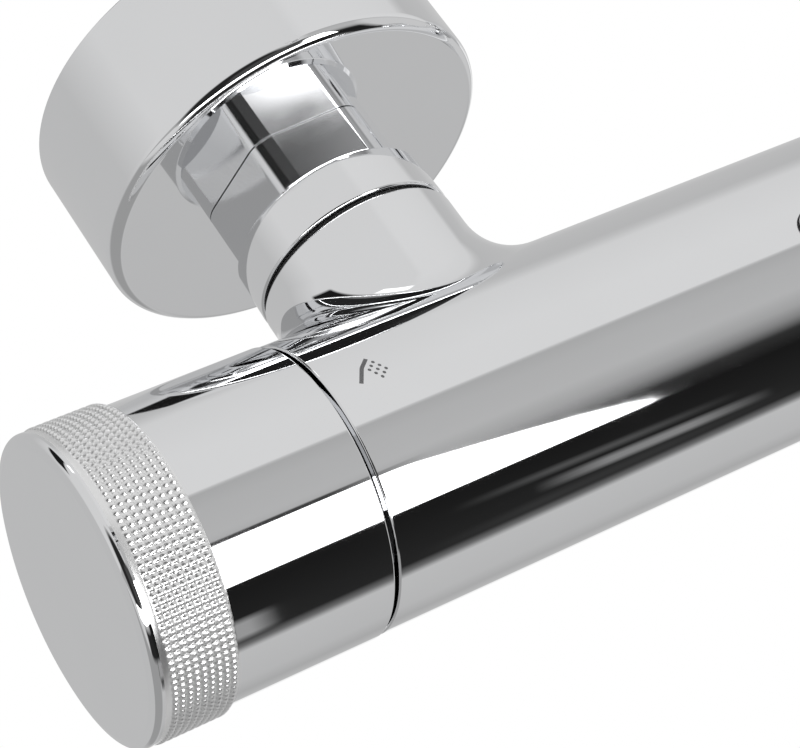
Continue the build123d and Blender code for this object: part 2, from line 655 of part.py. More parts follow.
symbol = hand_shower_symbol()
nodes = {
    "mixer_body": mixer_body(symbol),
    "hand_shower_symbol": symbol,
    "union_nuts": pair(union_nut),
    "inlet_filters": pair(inlet_filter),
    "check_valves": pair(check_valve),
    "hose_outlet": HOSE_PLACE * hose_outlet(),
    "diverter_cartridge": TO_LEFT * cartridge(15.0),
    "diverter_nut": TO_LEFT * cartridge_nut(),
    "diverter_spindle": TO_LEFT * spindle(),
    "flow_sleeve": TO_LEFT * handle_sleeve(),
    "thermostat_cartridge": TO_RIGHT * cartridge(13.0),
    "thermostat_nut": TO_RIGHT * cartridge_nut(),
    "thermostat_spindle": TO_RIGHT * spindle(),
    "temperature_sleeve": TO_RIGHT * temperature_sleeve(),
    "override_button": button_place() * override_button(),
    "override_spring": button_place() * override_spring(),
    "riser_nut": UPRIGHT * riser_nut(),
    "riser_washer": UPRIGHT * ring(12.0, 8.0, 35.5, RISER_START),
    "lower_riser": UPRIGHT * lower_riser(),
    "riser_coupling": UPRIGHT * riser_coupling(),
    "upper_riser": UPRIGHT * ring(RISER_R, RISER_BORE_R, RISER_SPLIT + 0.5, RISER_TOP),
    "bracket_body": bracket_body(),
    "bracket_plate": bracket_plate(),
    "bracket_screws": bracket_screws(),
    "wall_plugs": wall_plugs(),
    "bracket_rosette": bracket_rosette(),
    "riser_top_fitting": UPRIGHT * riser_top_fitting(),
    "arm_seals": arm_seals(),
    "arm_socket": UPRIGHT * arm_socket(),
    "arm_tube": arm_tube(),
    "flow_regulator": flow_regulator(),
    "ball_stem": ball_stem(),
    "ball_seat": ball_seat(),
    "ball_nut": ball_nut(),
    "ball_seal": ball_seal(),
    "head_shell": head_shell(),
    "head_plate": head_plate(),
    "nozzle_mat": nozzle_mat(),
    "slider_body": slider_body(),
    "slider_liner": slider_liner(),
    "slider_button": slider_button(),
    "slider_spring": slider_spring(),
    "holder_pin": holder_pin(),
    "holder": holder(),
    "handset_body": handset_body(),
    "handset_face": handset_face(),
    "handset_nozzles": handset_nozzles(),
    "handset_inlet": handset_inlet(),
    "spray_button": spray_button(),
}
for side, name in ((-1, "left"), (1, "right")):
    nodes[f"escutcheon_{name}"] = inlet_place(side) * escutcheon()
    nodes[f"wall_union_{name}"] = inlet_place(side) * wall_union()
for place, name in ((TO_LEFT, "flow"), (TO_RIGHT, "temperature")):
    nodes[f"{name}_grip_ring"] = place * grip_ring()
    nodes[f"{name}_cap"] = place * handle_cap()
    nodes[f"{name}_screw"] = place * handle_screw()

for name, shape in nodes.items():
    export_step(shape, f"parts/{name}.step")
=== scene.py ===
import json
from math import atan2, cos, hypot, pi, radians, sin

import bpy
from mathutils import Matrix, Vector


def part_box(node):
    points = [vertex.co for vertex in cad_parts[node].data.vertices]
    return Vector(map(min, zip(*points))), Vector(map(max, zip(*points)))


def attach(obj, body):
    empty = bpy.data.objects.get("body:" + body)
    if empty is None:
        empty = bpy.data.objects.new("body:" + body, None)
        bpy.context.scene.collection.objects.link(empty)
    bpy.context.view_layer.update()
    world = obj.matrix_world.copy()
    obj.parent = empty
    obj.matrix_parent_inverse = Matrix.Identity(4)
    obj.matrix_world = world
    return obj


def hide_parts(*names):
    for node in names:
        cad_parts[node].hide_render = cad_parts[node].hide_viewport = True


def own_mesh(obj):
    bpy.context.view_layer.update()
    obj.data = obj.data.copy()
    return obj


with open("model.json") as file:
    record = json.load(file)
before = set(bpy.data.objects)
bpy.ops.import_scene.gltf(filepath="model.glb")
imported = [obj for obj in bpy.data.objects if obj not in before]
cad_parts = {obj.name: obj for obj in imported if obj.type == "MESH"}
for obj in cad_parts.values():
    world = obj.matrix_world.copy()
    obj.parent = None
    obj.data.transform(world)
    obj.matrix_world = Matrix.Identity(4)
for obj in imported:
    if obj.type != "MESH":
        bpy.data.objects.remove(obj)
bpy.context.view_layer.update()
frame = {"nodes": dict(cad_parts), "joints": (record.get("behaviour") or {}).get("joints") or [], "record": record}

MM = 0.001

# ---------------------------------------------------------------- sizes from the frame
cap_low, cap_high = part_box("flow_cap")
grip_low, grip_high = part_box("flow_grip_ring")
_, sleeve_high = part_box("flow_sleeve")
cover_low, cover_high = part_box("escutcheon_left")
_, nut_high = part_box("union_nuts")
hose_low, hose_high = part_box("hose_outlet")

BAR_Y = (cap_low.y + cap_high.y) / 2          # axis of the bar
BAR_R = nut_high.z + 5.5 * MM                 # the bar is 5.5 mm larger in radius than the nut's collar
CAP_R = cap_high.z
GRIP_R = grip_high.z
SLEEVE_R = sleeve_high.z
HANDLE_END = -cap_low.x                       # centre of the column to a handle's end face
GRIP_END = -grip_low.x
GRIP_START = -grip_high.x
SLEEVE_START = -sleeve_high.x
SEAM_GAP = 0.8 * MM
BODY_END = SLEEVE_START - SEAM_GAP
INLET_X = -(cover_low.x + cover_high.x) / 2
COVER_R = (cover_high.x - cover_low.x) / 2
COVER_FRONT = -cover_low.y                    # wall to the escutcheon's flat face
BAR_TO_WALL = -BAR_Y
NECK_R = 17 * MM
NECK_END = 33.3 * MM
NECK_FILLET = 9 * MM
BOSS_R = 14.1 * MM
OUTLET_R = (hose_high.x - hose_low.x) / 2
HOSE_X = (hose_high.x + hose_low.x) / 2
BOSS_FILLET = 0.3 * MM


# ---------------------------------------------------------------- surfaces with exact normals
class Skin:
    """Collects faces whose corners carry their own normals, and welds corners that meet."""

    def __init__(self):
        self.points = []
        self.index = {}
        self.faces = []
        self.normals = []

    def corner(self, point):
        key = (round(point.x, 7), round(point.y, 7), round(point.z, 7))
        if key not in self.index:
            self.index[key] = len(self.points)
            self.points.append(point)
        return self.index[key]

    def face(self, corners):
        """corners is a list of (point, normal); a face is turned to look along its normals."""
        ids, normals = [], []
        for point, normal in corners:
            i = self.corner(point)
            if i not in ids:
                ids.append(i)
                normals.append(normal)
        if len(ids) < 3:
            return
        a, b, c = (self.points[ids[k]] for k in (0, 1, 2))
        turn = (b - a).cross(c - b)
        if turn.length < 1e-14 and len(ids) == 4:
            turn = (c - b).cross(self.points[ids[3]] - c)
        if turn.dot(sum(normals, Vector())) < 0:
            ids.reverse()
            normals.reverse()
        self.faces.append(ids)
        self.normals += normals

    def grid(self, rows, closed=False):
        """Quads between rows of (point, normal); closed joins each row's end to its start."""
        for low, high in zip(rows, rows[1:]):
            count = len(low)
            for i in range(count if closed else count - 1):
                j = (i + 1) % count
                self.face([low[i], low[j], high[j], high[i]])

    def piece(self, name, body, slot, material, *nodes):
        mesh = bpy.data.meshes.new(name)
        mesh.from_pydata([tuple(p) for p in self.points], [], self.faces)
        mesh.shade_smooth()
        mesh.normals_split_custom_set([tuple(n.normalized()) for n in self.normals])
        mesh.materials.append(material)
        obj = bpy.data.objects.new(name, mesh)
        bpy.context.scene.collection.objects.link(obj)
        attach(obj, body)
        if nodes:
            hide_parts(*nodes)
        return obj


def line(start, end, steps=1):
    """A straight stretch of a turned outline: (radius, height, normal radius, normal height)."""
    (r0, h0), (r1, h1) = start, end
    length = hypot(r1 - r0, h1 - h0)
    normal = ((h1 - h0) / length, (r0 - r1) / length)
    return [(r0 + (r1 - r0) * k / steps, h0 + (h1 - h0) * k / steps, *normal) for k in range(steps + 1)]


def arc(centre, radius, start, end, steps=8):
    """A round stretch of a turned outline, between two angles in degrees; 0 points away from the axis."""
    points = []
    for k in range(steps + 1):
        angle = radians(start + (end - start) * k / steps)
        nr, nh = cos(angle), sin(angle)
        points.append((centre[0] + radius * nr, centre[1] + radius * nh, nr, nh))
    return points


def outline(points, rounding):
    """A turned outline through (radius, height) points, with each inner corner rounded.

    The outline keeps the solid on its left: it runs from the low end to the high end on the outside.
    rounding is one radius for all corners, or one for each.
    """
    inner = len(points) - 2
    radii = rounding if isinstance(rounding, (list, tuple)) else [rounding] * inner
    stretches, here = [], Vector(points[0])
    for k in range(inner):
        a, b, c = Vector(points[k]), Vector(points[k + 1]), Vector(points[k + 2])
        to_a, to_c = (a - b).normalized(), (c - b).normalized()
        half = to_a.angle(to_c) / 2
        side = to_a.x * to_c.y - to_a.y * to_c.x
        if radii[k] < 1e-7 or abs(half - pi / 2) < 1e-3:
            stretches.append(line(here, b))
            here = b
            continue
        radius = radii[k]
        back = radius / abs(sin(half)) * cos(half)
        first, last = b + to_a * back, b + to_c * back
        middle = b + (to_a + to_c).normalized() * (radius / sin(half))
        stretches.append(line(here, first))
        start = (first - middle).normalized()
        end = (last - middle).normalized()
        swing = start.angle(end)
        steps = max(3, int(swing / radians(12)))
        bend = []
        for i in range(steps + 1):
            share = i / steps
            direction = (start * sin((1 - share) * swing) + end * sin(share * swing)) / sin(swing)
            point = middle + direction * radius
            sign = -1 if side > 0 else 1
            bend.append((point.x, point.y, sign * direction.x, sign * direction.y))
        stretches.append(bend)
        here = last
    stretches.append(line(here, Vector(points[-1])))
    return stretches


def turned(skin, spot, stretches, segments=192):
    """Adds a surface turned about the Z axis of a place."""
    spin = spot.to_3x3()
    for stretch in stretches:
        rows = []
        for r, h, nr, nh in stretch:
            row = []
            for i in range(segments):
                a = 2 * pi * i / segments
                point = spot @ Vector((r * cos(a), r * sin(a), h))
                row.append((point, spin @ Vector((nr * cos(a), nr * sin(a), nh))))
            rows.append(row)
        skin.grid(rows, closed=True)


def place(origin, along):
    """A frame whose Z runs along a direction from an origin."""
    turn = Vector(along).to_track_quat("Z", "Y").to_matrix().to_4x4()
    return Matrix.Translation(Vector(origin)) @ turn


def handle_place(side):
    """Z runs from the column's centre out along the bar."""
    return place((0, BAR_Y, 0), (side, 0, 0))


def inlet_place(side):
    """Z runs from the bar axis towards the wall."""
    return place((side * INLET_X, BAR_Y, 0), (0, 1, 0))


# ---------------------------------------------------------------- materials
def nodes_of(name):
    material = bpy.data.materials.new(name)
    material.use_nodes = True
    tree = material.node_tree
    return material, tree, tree.nodes["Principled BSDF"]


def noise(tree, scale, detail=3.0):
    coords = tree.nodes.new("ShaderNodeTexCoord")
    texture = tree.nodes.new("ShaderNodeTexNoise")
    texture.inputs["Scale"].default_value = scale
    texture.inputs["Detail"].default_value = detail
    tree.links.new(coords.outputs["Object"], texture.inputs["Vector"])
    return texture.outputs["Fac"]


def ramp(tree, source, low, high, start=0.35, end=0.65):
    """Maps a pattern's middle range to values from low to high."""
    mapper = tree.nodes.new("ShaderNodeMapRange")
    mapper.inputs["From Min"].default_value = start
    mapper.inputs["From Max"].default_value = end
    mapper.inputs["To Min"].default_value = low
    mapper.inputs["To Max"].default_value = high
    tree.links.new(source, mapper.inputs["Value"])
    return mapper.outputs["Result"]


def bump(tree, source, strength, distance):
    node = tree.nodes.new("ShaderNodeBump")
    node.inputs["Strength"].default_value = strength
    node.inputs["Distance"].default_value = distance
    tree.links.new(source, node.inputs["Height"])
    return node.outputs["Normal"]


def chrome(name, tint=(0.93, 0.935, 0.945), shine=0.025, smudge=0.05, ripple=0.02):
    """Polished chrome plate: faint wiping haze in the gloss and a very faint ripple."""
    material, tree, shader = nodes_of(name)
    shader.inputs["Metallic"].default_value = 1.0
    haze = noise(tree, 55.0, 5.0)
    tree.links.new(ramp(tree, haze, shine, shine + smudge, 0.48, 0.80), shader.inputs["Roughness"])
    tone = tree.nodes.new("ShaderNodeMix")
    tone.data_type = "RGBA"
    tone.inputs["A"].default_value = (*tint, 1)
    tone.inputs["B"].default_value = (*(c * 0.97 for c in tint), 1)
    tree.links.new(haze, tone.inputs["Factor"])
    tree.links.new(tone.outputs["Result"], shader.inputs["Base Color"])
    tree.links.new(bump(tree, noise(tree, 18.0, 1.0), ripple, 0.0002), shader.inputs["Normal"])
    return material


def dull(name, colour, rough, grain, depth=0.15, metallic=0.0, spread=0.08):
    """Rubber, plastic, brass or steel with fine grain and slight unevenness in colour."""
    material, tree, shader = nodes_of(name)
    shader.inputs["Metallic"].default_value = metallic
    pattern = noise(tree, grain, 6.0)
    tree.links.new(ramp(tree, pattern, rough * 0.85, min(1.0, rough * 1.2)), shader.inputs["Roughness"])
    tone = tree.nodes.new("ShaderNodeMix")
    tone.data_type = "RGBA"
    tone.inputs["A"].default_value = (*(c * (1 - spread) for c in colour), 1)
    tone.inputs["B"].default_value = (*(min(1.0, c * (1 + spread)) for c in colour), 1)
    tree.links.new(noise(tree, grain * 0.1, 3.0), tone.inputs["Factor"])
    tree.links.new(tone.outputs["Result"], shader.inputs["Base Color"])
    tree.links.new(bump(tree, pattern, depth, 0.0001), shader.inputs["Normal"])
    return material


CHROME = chrome("chrome_body")
TUBE = chrome("chrome_tube", shine=0.03, smudge=0.06)
PLATED = chrome("chrome_on_plastic", tint=(0.92, 0.925, 0.935), shine=0.03, smudge=0.05, ripple=0.03)
KNURL = chrome("chrome_knurl", tint=(0.99, 0.99, 0.99), shine=0.30, smudge=0.08, ripple=0.0)
BRASS = dull("turned_brass", (0.80, 0.62, 0.30), 0.28, 900.0, metallic=1.0)
STEEL = dull("bright_steel", (0.62, 0.62, 0.63), 0.30, 1200.0, metallic=1.0)
RUBBER = dull("black_rubber", (0.025, 0.025, 0.026), 0.75, 1500.0, 0.3)
SILICONE = dull("grey_silicone", (0.42, 0.43, 0.44), 0.55, 1500.0, 0.2)
BLACK = dull("black_moulding", (0.03, 0.03, 0.032), 0.45, 1800.0)
GREY = dull("grey_moulding", (0.45, 0.46, 0.47), 0.50, 1800.0)
ETCHED = dull("etched_mark", (0.20, 0.20, 0.205), 0.55, 4000.0, 0.3, metallic=0.4)
FINISH = {
    "chromed_brass": CHROME, "chromed_tube": TUBE, "chromed_plastic": PLATED, "knurled_chrome": KNURL,
    "raw_brass": BRASS, "steel": STEEL, "black_rubber": RUBBER, "grey_silicone": SILICONE,
    "black_plastic": BLACK, "grey_plastic": GREY, "symbol_grey": ETCHED,
}
for part in frame["record"]["subparts"]:
    mesh = frame["nodes"][part["node"]].data
    mesh.materials.clear()
    mesh.materials.append(FINISH[part["material_slot"]])


# ---------------------------------------------------------------- mixer body
class Branch:
    """A round neck that leaves the bar at right angles, with a rolling-ball fillet at its foot."""

    def __init__(self, x, around, radius, fillet, reach_low, reach_high, span):
        self.x, self.around, self.radius, self.fillet = x, around, radius, fillet
        self.low, self.high, self.span = x - reach_low, x + reach_high, span
        angle = radians(around)
        self.out = Vector((0, -cos(angle), sin(angle)))
        self.side = Vector((0, sin(angle), cos(angle)))

    def point(self, u, v, w):
        return Vector((self.x, BAR_Y, 0)) + Vector((u, 0, 0)) + self.side * v + self.out * w

    def ball(self, angle):
        """Centre of the fillet's ball at an angle round the neck, as (u, v, w)."""
        u = (self.radius + self.fillet) * cos(angle)
        v = (self.radius + self.fillet) * sin(angle)
        return Vector((u, v, ((BAR_R + self.fillet) ** 2 - v * v) ** 0.5))

    def foot(self, angle):
        """Where the fillet meets the bar: (x, degrees round the bar)."""
        ball = self.ball(angle)
        return self.x + ball.x, self.around + atan2(ball.y, ball.z) * 180 / pi

    def fillet_rows(self, angles, steps=14):
        columns = []
        for angle in angles:
            ball = self.ball(angle)
            shrink = BAR_R / (BAR_R + self.fillet)
            low = Vector((ball.x, ball.y * shrink, ball.z * shrink)) - ball
            high = Vector((self.radius * cos(angle), self.radius * sin(angle), ball.z)) - ball
            low.normalize()
            high.normalize()
            swing = low.angle(high)
            column = []
            for k in range(steps + 1):
                share = k / steps
                ray = (low * sin((1 - share) * swing) + high * sin(share * swing)) / sin(swing)
                spot = ball + ray * self.fillet
                normal = -(Vector((ray.x, 0, 0)) + self.side * ray.y + self.out * ray.z)
                column.append((self.point(*spot), normal))
            columns.append(column)
        return [[column[k] for column in columns] for k in range(steps + 1)]


def on_bar(x, degrees_round):
    angle = radians(degrees_round)
    normal = Vector((0, -cos(angle), sin(angle)))
    return Vector((x, BAR_Y, 0)) + normal * BAR_R, normal


def spread(low, high, step):
    count = max(1, round((high - low) / step))
    return [low + (high - low) * k / count for k in range(count + 1)]


def mixer_body():
    """Bar with its inlet necks, riser boss and hose boss, and stepped ends under the handles."""
    skin = Skin()
    outer = BODY_END - 0.35 * MM
    branches = [
        Branch(-INLET_X, 180, NECK_R, NECK_FILLET, outer - INLET_X, 30 * MM, 76),
        Branch(INLET_X, 180, NECK_R, NECK_FILLET, 30 * MM, outer - INLET_X, 76),
        Branch(0, 90, BOSS_R, BOSS_FILLET, 20 * MM, 20 * MM, 60),
        Branch(HOSE_X, 270, OUTLET_R, BOSS_FILLET, 20 * MM, 20 * MM, 60),
    ]
    turn_step = 2
    x_lines = sorted({-outer, outer, *(b.low for b in branches), *(b.high for b in branches)})
    xs = [x_lines[0]]
    for low, high in zip(x_lines, x_lines[1:]):
        xs += spread(low, high, 2 * MM)[1:]

    def holds(branch, x, turn):
        inside = branch.low < x < branch.high
        return inside and abs((turn - branch.around + 180) % 360 - 180) < branch.span

    for x0, x1 in zip(xs, xs[1:]):
        for turn in range(0, 360, turn_step):
            if any(holds(b, (x0 + x1) / 2, turn + turn_step / 2) for b in branches):
                continue
            corners = [(x0, turn), (x1, turn), (x1, turn + turn_step), (x0, turn + turn_step)]
            skin.face([on_bar(*c) for c in corners])

    ends = {
        90: [(BOSS_R, 26 * MM), (12 * MM, 26 * MM), (12 * MM, 35.5 * MM), (0, 35.5 * MM)],
        270: [(OUTLET_R, 25 * MM), (0, 25 * MM)],
        180: [(NECK_R, NECK_END), (12 * MM, NECK_END), (12 * MM, 43.5 * MM), (13 * MM, 43.5 * MM),
              (13 * MM, 46 * MM), (0, 46 * MM)],
    }
    for branch in branches:
        frame_xs = [x for x in xs if branch.low - 1e-9 <= x <= branch.high + 1e-9]
        low_turn, high_turn = branch.around - branch.span, branch.around + branch.span
        turns = list(range(low_turn, high_turn + 1, turn_step))
        rim = [(x, low_turn) for x in frame_xs[:-1]] + [(branch.high, t) for t in turns[:-1]]
        rim += [(x, high_turn) for x in frame_xs[:0:-1]] + [(branch.low, t) for t in turns[:0:-1]]
        half = (branch.high - branch.low) / 2
        angles = [atan2((t - branch.around) / branch.span, (x - branch.x) / half) for x, t in rim]
        feet = [branch.foot(a) for a in angles]
        rows = []
        for k in range(9):
            share = k / 8
            rows.append([on_bar(f[0] + (r[0] - f[0]) * share, f[1] + (r[1] - f[1]) * share)
                         for f, r in zip(feet, rim)])
        skin.grid(rows, closed=True)
        bend = branch.fillet_rows(angles)
        skin.grid(bend, closed=True)
        corners = ends[branch.around]
        tip, edge = corners[0][1], 0.35 * MM
        neck = [bend[-1]]
        for share in (0.5, 1.0):
            row = []
            for (point, normal), angle in zip(bend[-1], angles):
                height = (point - Vector((branch.x, BAR_Y, 0))).dot(branch.out)
                row.append((point + branch.out * (tip - edge - height) * share, normal))
            neck.append(row)
        skin.grid(neck, closed=True)
        rounded = []
        for k in range(5):
            tilt = pi / 2 * k / 4
            radius = branch.radius - edge + edge * cos(tilt)
            row = []
            for angle in angles:
                flat = Vector((cos(angle), 0, 0)) + branch.side * sin(angle)
                point = branch.point(radius * cos(angle), radius * sin(angle), tip - edge + edge * sin(tilt))
                row.append((point, flat * cos(tilt) + branch.out * sin(tilt)))
            rounded.append(row)
        skin.grid(rounded, closed=True)
        corners[0] = (branch.radius - edge, tip)
        for (r0, h0), (r1, h1) in zip(corners, corners[1:]):
            _, _, nr, nh = line((r0, h0), (r1, h1))[0]
            pair = []
            for radius, height in ((r0, h0), (r1, h1)):
                row = []
                for angle in angles:
                    flat = Vector((cos(angle), 0, 0)) + branch.side * sin(angle)
                    point = branch.point(radius * cos(angle), radius * sin(angle), height)
                    row.append((point, flat * nr + branch.out * nh))
                pair.append(row)
            skin.grid(pair, closed=True)

    for side in (-1, 1):
        spin = [on_bar(0, turn)[1] for turn in range(0, 360, turn_step)]
        out = Vector((side, 0, 0))
        centre = Vector((0, BAR_Y, 0))
        edge = BODY_END - outer
        stretches = [
            arc((BAR_R - edge, outer), edge, 0, 90, 4),
            line((BAR_R - edge, BODY_END), (19 * MM, BODY_END)),
            line((19 * MM, BODY_END), (19 * MM, BODY_END + 4 * MM)),
            line((19 * MM, BODY_END + 4 * MM), (17.3 * MM, BODY_END + 4 * MM)),
            line((17.3 * MM, BODY_END + 4 * MM), (17.3 * MM, 62 * MM)),
            line((17.3 * MM, 62 * MM), (0, 62 * MM)),
        ]
        for stretch in stretches:
            rows = []
            for r, h, nr, nh in stretch:
                rows.append([(centre + out * h + n * r, n * nr + out * nh) for n in spin])
            skin.grid(rows, closed=True)
    skin.piece("mixer_body_skin", "column", "chromed_brass", CHROME, "mixer_body")


mixer_body()


# ---------------------------------------------------------------- handles
HANDLE_BORE_R = 19.4 * MM
SPIGOT_R = 20.5 * MM                          # what the knurled band sits on
SPIGOT_BORE_R = 17 * MM
CAP_FLAT_R = 21.7 * MM                        # where the cap's face turns flat


def handle_sleeve(side, body, prefix):
    skin = Skin()
    bore_end = GRIP_START - 9 * MM
    shape = [(HANDLE_BORE_R, SLEEVE_START), (SLEEVE_R, SLEEVE_START), (SLEEVE_R, GRIP_START),
             (SPIGOT_R, GRIP_START), (SPIGOT_R, GRIP_END), (SPIGOT_BORE_R, GRIP_END),
             (SPIGOT_BORE_R, bore_end), (HANDLE_BORE_R, bore_end), (HANDLE_BORE_R, SLEEVE_START)]
    rounding = [0.3 * MM, 0.15 * MM, 0, 0, 0, 0, 0]
    turned(skin, handle_place(side), outline(shape, rounding), 240)
    skin.piece(prefix + "_sleeve_skin", body, "chromed_plastic", PLATED, prefix + "_sleeve")


def handle_cap(side, body, prefix):
    skin = Skin()
    bend_r, rim_start = 1.2 * MM, GRIP_END + 0.35 * MM
    centre = (CAP_R - bend_r, rim_start)
    bend = arc(centre, bend_r, 0, 55, 10)
    slope_start = bend[-1][:2]
    flat_start = (CAP_FLAT_R, HANDLE_END)
    stretches = [
        line((0, GRIP_END), (CAP_R, GRIP_END)), line((CAP_R, GRIP_END), (CAP_R, rim_start)), bend,
        line(slope_start, flat_start), line(flat_start, (0, HANDLE_END)),
    ]
    turned(skin, handle_place(side), stretches, 240)
    skin.piece(prefix + "_cap_skin", body, "chromed_plastic", PLATED, prefix + "_cap")


def knurled_band(side, body, prefix):
    """Band of small rounded studs in even rows and columns, with a plain margin next to the cap."""
    columns, count, sub = 9, 132, 5
    depth = 0.32 * MM
    spot = handle_place(side)
    start, end = GRIP_START + 0.15 * MM, GRIP_END - 1.0 * MM
    swell = [sin(pi * k / sub) ** 0.55 if 0 < k < sub else 0.0 for k in range(sub)]
    vertices, faces = [], []
    segments = count * sub

    def ring(radius_of, height):
        first = len(vertices)
        for i in range(segments):
            a = 2 * pi * i / segments
            r = radius_of(i)
            vertices.append(spot @ Vector((r * cos(a), r * sin(a), height)))
        return first

    rings = [ring(lambda i: SPIGOT_R, GRIP_START), ring(lambda i: GRIP_R - depth, GRIP_START)]
    for step in range(columns * sub + 1):
        height = start + (end - start) * step / (columns * sub)
        lift = swell[step % sub]
        rings.append(ring(lambda i: GRIP_R - depth + depth * lift * swell[i % sub], height))
    margin_r = CAP_R - 0.05 * MM
    rings += [ring(lambda i: margin_r, end + 0.15 * MM), ring(lambda i: margin_r, GRIP_END)]
    rings.append(ring(lambda i: SPIGOT_R, GRIP_END))
    for a, b in zip(rings, rings[1:] + rings[:1]):
        for i in range(segments):
            j = (i + 1) % segments
            faces.append((a + i, a + j, b + j, b + i))
    mesh = bpy.data.meshes.new(prefix + "_knurl")
    mesh.from_pydata([tuple(v) for v in vertices], [], faces)
    mesh.shade_smooth()
    mesh.set_sharp_from_angle(angle=radians(75))
    mesh.materials.append(KNURL)
    obj = bpy.data.objects.new(prefix + "_knurl", mesh)
    bpy.context.scene.collection.objects.link(obj)
    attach(obj, body)
    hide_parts(prefix + "_grip_ring")


for side, body, prefix in ((-1, "flow_handle", "flow"), (1, "temperature_handle", "temperature")):
    handle_sleeve(side, body, prefix)
    handle_cap(side, body, prefix)
    knurled_band(side, body, prefix)


# ---------------------------------------------------------------- union nuts and escutcheons
NUT_START = 34.2 * MM
NUT_COLLAR_END = 42.7 * MM
NUT_END = nut_high.y - BAR_Y
NUT_BORE_R = 13.25 * MM
COLLAR_BORE_R = 12.05 * MM
BORE_STEP = 43.4 * MM                         # where the nut's bore narrows
NUT_FLATS = 29 * MM
NUT_ROUNDING = 4.5 * MM
NUT_TURN = 6.0                                # degrees


def hexagon(flats, rounding, turn):
    """Outline of a hexagon with rounded corners: (x, y, normal angle) all the way round."""
    reach = (flats / 2 - rounding) / cos(pi / 6)
    points = []
    for k in range(6):
        corner = radians(60 * k - turn)
        for i in range(13):
            angle = corner + radians(-30 + 5 * i)
            x = reach * cos(corner) + rounding * cos(angle)
            y = reach * sin(corner) + rounding * sin(angle)
            points.append((x, y, angle))
    return points


def union_nuts():
    skin = Skin()
    edge = 0.08 * MM
    for side in (-1, 1):
        spot = inlet_place(side)
        spin = spot.to_3x3()
        collar = [(COLLAR_BORE_R, NUT_START), (NECK_R, NUT_START), (16.75 * MM, NUT_COLLAR_END - 0.6 * MM),
                  (16.1 * MM, NUT_COLLAR_END), (NUT_FLATS / 2 - 1 * MM, NUT_COLLAR_END)]
        turned(skin, spot, outline(collar, [0.5 * MM, 0.3 * MM, 0.05 * MM]), 240)
        stations = [(NUT_COLLAR_END - 0.3 * MM, 0, 0), (NUT_END - edge, 0, 0)]
        for t in (pi / 8, pi / 4, 3 * pi / 8, pi / 2):
            stations.append((NUT_END - edge + edge * sin(t), edge * (1 - cos(t)), t))
        rows = []
        for height, inset, tilt in stations:
            row = []
            for x, y, angle in hexagon(NUT_FLATS, NUT_ROUNDING, NUT_TURN):
                out = Vector((cos(angle), sin(angle), 0))
                point = Vector((x, y, height)) - out * inset
                row.append((spot @ point, spin @ (out * cos(tilt) + Vector((0, 0, 1)) * sin(tilt))))
            rows.append(row)
        skin.grid(rows, closed=True)
        along = spin @ Vector((0, 0, 1))
        inner = []
        for x, y, angle in hexagon(NUT_FLATS, NUT_ROUNDING, NUT_TURN):
            a = atan2(y, x)
            inner.append((spot @ Vector((NUT_BORE_R * cos(a), NUT_BORE_R * sin(a), NUT_END)), along))
        skin.grid([rows[-1], inner], closed=True)
        bore = [(NUT_BORE_R, NUT_END), (NUT_BORE_R, BORE_STEP), (COLLAR_BORE_R, BORE_STEP),
                (COLLAR_BORE_R, NUT_START)]
        turned(skin, spot, outline(bore, 0), 120)
    skin.piece("union_nuts_skin", "column", "chromed_brass", CHROME, "union_nuts")


def escutcheon(side, name):
    skin = Skin()
    wall = 1.5 * MM
    front, back = BAR_TO_WALL - COVER_FRONT, BAR_TO_WALL
    hole = 13.4 * MM
    shape = [(hole, front + wall), (hole, front), (COVER_R, front), (COVER_R, back), (COVER_R - wall, back),
             (COVER_R - wall, front + wall), (hole, front + wall)]
    turned(skin, inlet_place(side), outline(shape, [0.2 * MM, 2.0 * MM, 0.2 * MM, 0.2 * MM, 1.0 * MM]), 256)
    skin.piece(name + "_skin", "column", "chromed_tube", TUBE, name)


def gap_shade_rings():
    """Black rings that fill the gap between each neck and its union nut: painted shade, standing in for the dark
    gap rather than a real washer.
    """
    skin = Skin()
    for side in (-1, 1):
        shape = [(12.1 * MM, NECK_END + 0.05 * MM), (16.2 * MM, NECK_END + 0.05 * MM),
                 (16.2 * MM, NUT_START - 0.05 * MM), (12.1 * MM, NUT_START - 0.05 * MM)]
        turned(skin, inlet_place(side), outline(shape, 0.1 * MM), 96)
    # painted shade: the black ring makes the gap between neck and nut look dark
    skin.piece("gap_shade_rings", "column", "black_rubber", RUBBER)


union_nuts()
gap_shade_rings()
escutcheon(-1, "escutcheon_left")
escutcheon(1, "escutcheon_right")


# ---------------------------------------------------------------- symbol on the body
def symbol():
    """Etched mark of a hand shower: a bent wand and nine drops, laid on the bar's surface."""
    centre_x = -INLET_X - 20.4 * MM
    centre_turn = 99.0
    lift = 0.012 * MM
    skin = Skin()

    def spot(u, v):
        angle = radians(centre_turn) + v / BAR_R
        normal = Vector((0, -cos(angle), sin(angle)))
        return Vector((centre_x + u, BAR_Y, 0)) + normal * (BAR_R + lift), normal

    def mark(start, end, width, pointed):
        start, end = Vector(start) * MM, Vector(end) * MM
        run = (end - start).normalized()
        across = Vector((-run.y, run.x)) * width * MM / 2
        rows = []
        steps = 8
        for k in range(steps + 1):
            share = k / steps
            half = across * (sin(pi * share) ** 0.5 if pointed else 1.0)
            middle = start + (end - start) * share
            rows.append([spot(*(middle - half)), spot(*(middle + half))])
        skin.grid(rows)

    foot, bend, tip = (-2.95, -1.95), (-1.4, 0.45), (0.1, 1.75)
    mark(foot, bend, 0.6, False)
    mark(bend, tip, 0.6, False)
    across, along = Vector((-0.62, -0.53)), Vector((0.51, -0.92))
    for row in range(3):
        for column in range(3):
            drop = Vector((0.65, 0.75)) + across * row + along * column
            mark(drop - along * 0.28, drop + along * 0.28, 0.42, True)
    skin.piece("hand_shower_mark", "column", "symbol_grey", ETCHED, "hand_shower_symbol")


symbol()


